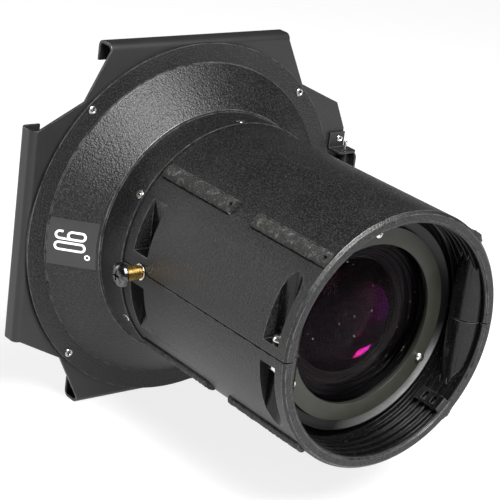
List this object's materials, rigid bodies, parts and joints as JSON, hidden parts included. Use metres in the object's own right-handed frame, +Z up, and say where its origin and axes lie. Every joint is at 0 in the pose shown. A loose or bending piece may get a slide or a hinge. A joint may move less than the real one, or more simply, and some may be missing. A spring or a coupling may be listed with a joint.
{
  "type": "spotlight lens tube",
  "caption": "Wide-angle lens tube for a follow or profile spot: split ribbed barrel with lenses, conical bell and a folded colour frame holder with a sprung retaining clip.",
  "frame": {"origin": "on the optical axis, in the plane of the frame holder's front face, where the bell's flange is riveted on", "axes": "+Y along the optical axis in the direction of the light, so the lamp end rim points to -Y; +X towards the open, clip side of the frame holder; +Z up"},
  "size_m": [0.2028, 0.1802, 0.1944],
  "materials": {
    "powder_coat": "fine textured black powder coat, semi-gloss",
    "black_sheet": "satin black painted sheet steel",
    "anodised": "black anodised, turned",
    "grey_plate": "dull grey-green anodised sheet",
    "glide": "rough dark moulded polymer, scuffed",
    "nickel": "bright nickel plate",
    "brass": "plain turned brass",
    "glass": "polished, anti-reflection coated with a magenta bloom",
    "rubber": "black nitrile rubber",
    "label": "printed polyester label",
    "spring_steel": "drawn spring wire"
  },
  "bodies": {
    "tube": {"frame_holder_plate": "black_sheet", "bell_flange": "powder_coat", "tube_upper_half": "powder_coat", "tube_lower_half": "powder_coat", "rear_lens_cell": "anodised", "lens_retaining_plate": "grey_plate", "lens_gasket": "rubber", "rear_lens": "glass", "stepped_barrel": "anodised", "middle_lens": "glass", "middle_lens_ring": "anodised", "front_lens": "glass", "front_lens_cell": "anodised", "front_lens_ring": "spring_steel", "focus_stud_screw": "nickel", "focus_stud_washer": "nickel", "focus_stud_nut": "nickel", "angle_label": "label", "clip_bracket_upper": "black_sheet", "clip_bracket_lower": "black_sheet", "clip_hinge_pin": "nickel", "clip_rivet_upper": "nickel", "clip_rivet_lower": "nickel", "clip_spring": "spring_steel", "flange_rivet_upper_right": "nickel", "flange_rivet_upper_left": "nickel", "flange_rivet_lower_left": "nickel", "flange_rivet_lower_right": "nickel", "glide_pad_upper_left_rear": "glide", "glide_pad_upper_left_front": "glide", "glide_pad_lower_left_rear": "glide", "glide_pad_lower_left_front": "glide", "glide_pad_upper_right_rear": "glide", "glide_pad_upper_right_front": "glide", "glide_pad_lower_right_rear": "glide", "glide_pad_lower_right_front": "glide", "clamp_screw_left": "nickel", "clamp_nut_left": "nickel", "clamp_screw_right": "nickel", "clamp_nut_right": "nickel", "collar_screw_1": "nickel", "collar_screw_2": "nickel", "collar_screw_3": "nickel", "collar_screw_4": "nickel", "collar_screw_5": "nickel", "collar_screw_6": "nickel", "retaining_plate_screw_1": "nickel", "retaining_plate_screw_2": "nickel", "retaining_plate_screw_3": "nickel"},
    "clip": {"retaining_clip": "black_sheet"},
    "roller": {"focus_roller": "brass"}
  },
  "joints": [
    {"name": "clip_hinge", "type": "hinge", "parent": "tube", "child": "clip", "pos_m": [0.103, -0.003, 0], "axis": [0, 0, -1], "range_deg": [0, 90], "stiffness_Nm_per_rad": 0.02, "springref_deg": -28.65},
    {"name": "roller_spin", "type": "hinge", "parent": "tube", "child": "roller", "pos_m": [-0.0698, -0.055, 0], "axis": [1, 0, 0], "continuous": true}
  ]
}
